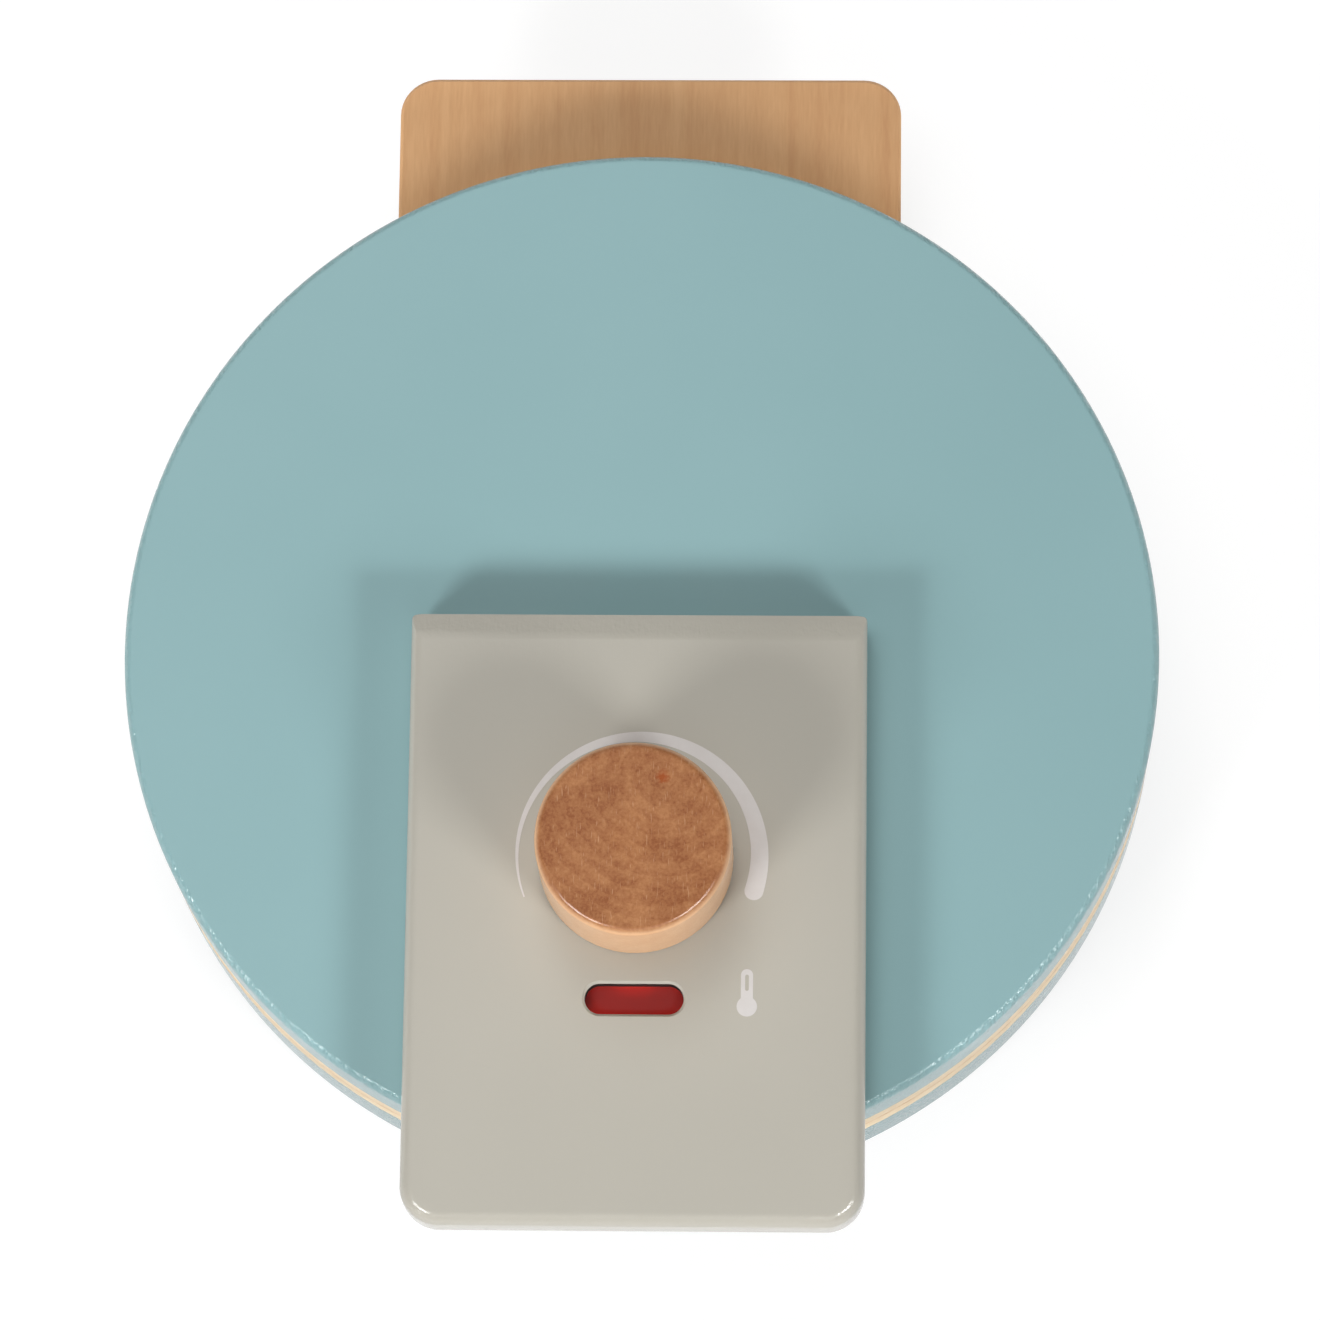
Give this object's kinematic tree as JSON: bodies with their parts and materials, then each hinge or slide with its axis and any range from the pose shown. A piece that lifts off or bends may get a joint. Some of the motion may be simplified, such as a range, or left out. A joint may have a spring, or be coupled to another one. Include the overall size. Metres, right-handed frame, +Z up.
{
  "type": "toy waffle maker",
  "caption": "Wooden play-kitchen waffle iron: round painted body, rear-hinged lid with heart mould, front handle block with turning knob and indicator window.",
  "frame": {"origin": "centre of the footprint on the surface that the feet stand on", "axes": "+X right seen from the handle, +Y towards the hinge, +Z up"},
  "size_m": [0.16, 0.1884, 0.0541],
  "materials": {
    "painted_disc": "satin water-based paint, dusty blue-green, on beech",
    "painted_block": "satin water-based paint, warm grey, on beech",
    "natural_wood": "natural wood, clear matt lacquer",
    "oiled_beech": "turned hardwood, clear lacquer, end grain on top",
    "beech_dowel": "bare beech",
    "colour_wheel_paint": "painted, red on one half and green on the other",
    "rubber": "moulded, matt",
    "zinc_steel": "zinc plated",
    "hinge_steel": "nickel plated, stamped",
    "felt": "pressed wool felt"
  },
  "bodies": {
    "base": {"base_disc": "painted_disc", "base_plate": "natural_wood", "rubber_feet": "rubber", "hinge_base_leaf": "hinge_steel", "hinge_pin": "hinge_steel", "base_hinge_screws": "zinc_steel"},
    "lid": {"lid_plate": "natural_wood", "lid_disc": "painted_disc", "control_block": "painted_block", "block_dowels": "beech_dowel", "block_screws": "zinc_steel", "hinge_lid_leaf": "hinge_steel", "lid_hinge_screws": "zinc_steel"},
    "knob_assembly": {"knob": "oiled_beech", "knob_dowel": "beech_dowel", "felt_washer": "felt", "colour_wheel": "colour_wheel_paint", "steel_washer": "zinc_steel", "wheel_screw": "zinc_steel"}
  },
  "joints": [
    {"name": "lid_hinge", "type": "hinge", "parent": "base", "child": "lid", "pos_m": [0, 0.0776, 0.01865], "axis": [-1, 0, 0], "range_deg": [0, 92]},
    {"name": "knob_turn", "type": "hinge", "parent": "lid", "child": "knob_assembly", "pos_m": [0, -0.0379, 0.0398], "axis": [0, 0, 1], "continuous": true}
  ]
}
